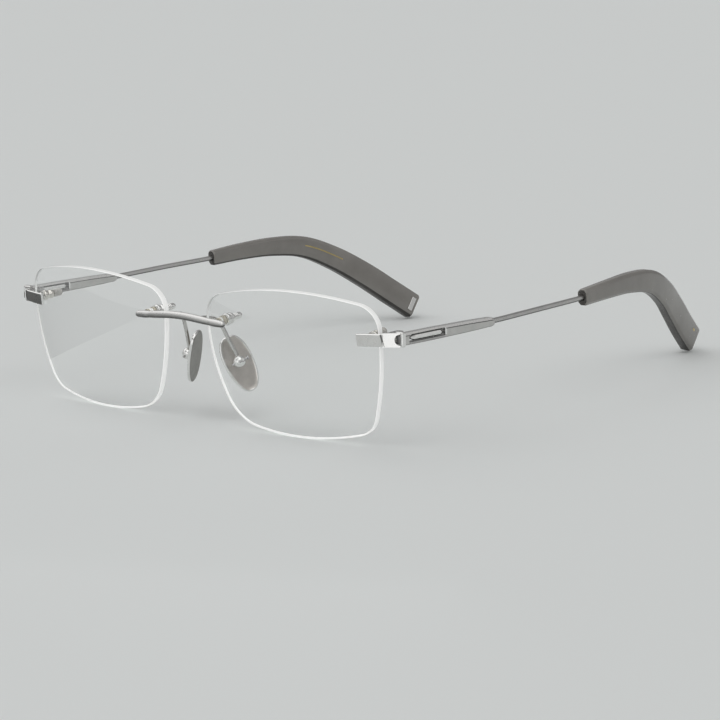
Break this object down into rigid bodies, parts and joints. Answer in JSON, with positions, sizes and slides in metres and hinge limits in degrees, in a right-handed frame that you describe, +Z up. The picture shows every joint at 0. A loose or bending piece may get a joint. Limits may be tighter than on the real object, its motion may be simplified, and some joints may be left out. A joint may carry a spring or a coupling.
{
  "type": "rimless rectangular eyeglasses",
  "caption": "Rimless rectangular eyeglasses with a slim metal bridge, metal nose pads, open-window spring temples and smoky translucent tips, standing open.",
  "frame": {"origin": "bottom centre of the whole object, on the surface that it stands on", "axes": "+X towards the wearer's left, +Y from the lenses back along the temples, +Z up"},
  "size_m": [0.1428, 0.1484, 0.0378],
  "materials": {
    "satin_titanium": "fine satin, slightly warm grey",
    "polished_chrome": "mirror polished",
    "screw_steel": "turned steel",
    "pad_titanium": "fine matt warm grey with a polished rim",
    "lens_clear": "clear, polished edge",
    "clear_sleeve": "translucent clear plastic",
    "smoky_acetate": "translucent smoky grey-brown, polished, faint streaks"
  },
  "bodies": {
    "front": {"bridge": "satin_titanium", "lens_left": "lens_clear", "bridge_post_left": "screw_steel", "bridge_bushing_left": "clear_sleeve", "bridge_washer_left": "polished_chrome", "bridge_nut_left": "polished_chrome", "bridge_cap_left": "polished_chrome", "endpiece_post_left": "screw_steel", "endpiece_bushing_left": "clear_sleeve", "endpiece_washer_left": "polished_chrome", "endpiece_nut_left": "polished_chrome", "endpiece_cap_left": "clear_sleeve", "pad_arm_left": "satin_titanium", "pad_box_left": "polished_chrome", "pad_pin_left": "screw_steel", "endpiece_left": "satin_titanium", "hinge_screw_left": "screw_steel", "lens_right": "lens_clear", "bridge_post_right": "screw_steel", "bridge_bushing_right": "clear_sleeve", "bridge_washer_right": "polished_chrome", "bridge_nut_right": "polished_chrome", "bridge_cap_right": "polished_chrome", "endpiece_post_right": "screw_steel", "endpiece_bushing_right": "clear_sleeve", "endpiece_washer_right": "polished_chrome", "endpiece_nut_right": "polished_chrome", "endpiece_cap_right": "clear_sleeve", "pad_arm_right": "satin_titanium", "pad_box_right": "polished_chrome", "pad_pin_right": "screw_steel", "endpiece_right": "satin_titanium", "hinge_screw_right": "screw_steel"},
    "slider_left": {"hinge_slider_left": "polished_chrome"},
    "temple_left": {"temple_left": "satin_titanium", "temple_tip_left": "smoky_acetate", "tip_inlay_left": "polished_chrome", "flex_spring_left": "screw_steel"},
    "pad_left": {"nose_pad_left": "pad_titanium"},
    "slider_right": {"hinge_slider_right": "polished_chrome"},
    "temple_right": {"temple_right": "satin_titanium", "temple_tip_right": "smoky_acetate", "tip_inlay_right": "polished_chrome", "flex_spring_right": "screw_steel"},
    "pad_right": {"nose_pad_right": "pad_titanium"}
  },
  "joints": [
    {"name": "fold_left", "type": "hinge", "parent": "front", "child": "slider_left", "pos_m": [0.0663, -0.06264, 0.02737], "axis": [0, 0, 1], "range_deg": [0, 84]},
    {"name": "flex_left", "type": "slide", "parent": "slider_left", "child": "temple_left", "axis": [0.0276, 0.9994, -0.0204], "range_m": [0, 0.0009], "stiffness_N_per_m": 1500, "springref_m": -0.002, "deforming": ["flex_spring_left"]},
    {"name": "pad_rock_left", "type": "hinge", "parent": "front", "child": "pad_left", "pos_m": [0.01024, -0.06189, 0.01578], "axis": [-0.3195, -0.8932, -0.3164], "range_deg": [-10, 10]},
    {"name": "fold_right", "type": "hinge", "parent": "front", "child": "slider_right", "pos_m": [-0.0663, -0.06264, 0.02737], "axis": [0, 0, -1], "range_deg": [0, 72]},
    {"name": "flex_right", "type": "slide", "parent": "slider_right", "child": "temple_right", "axis": [-0.0276, 0.9994, -0.0204], "range_m": [0, 0.0009], "stiffness_N_per_m": 1500, "springref_m": -0.002, "deforming": ["flex_spring_right"]},
    {"name": "pad_rock_right", "type": "hinge", "parent": "front", "child": "pad_right", "pos_m": [-0.01024, -0.06189, 0.01578], "axis": [0.3195, -0.8932, -0.3164], "range_deg": [-10, 10]}
  ]
}
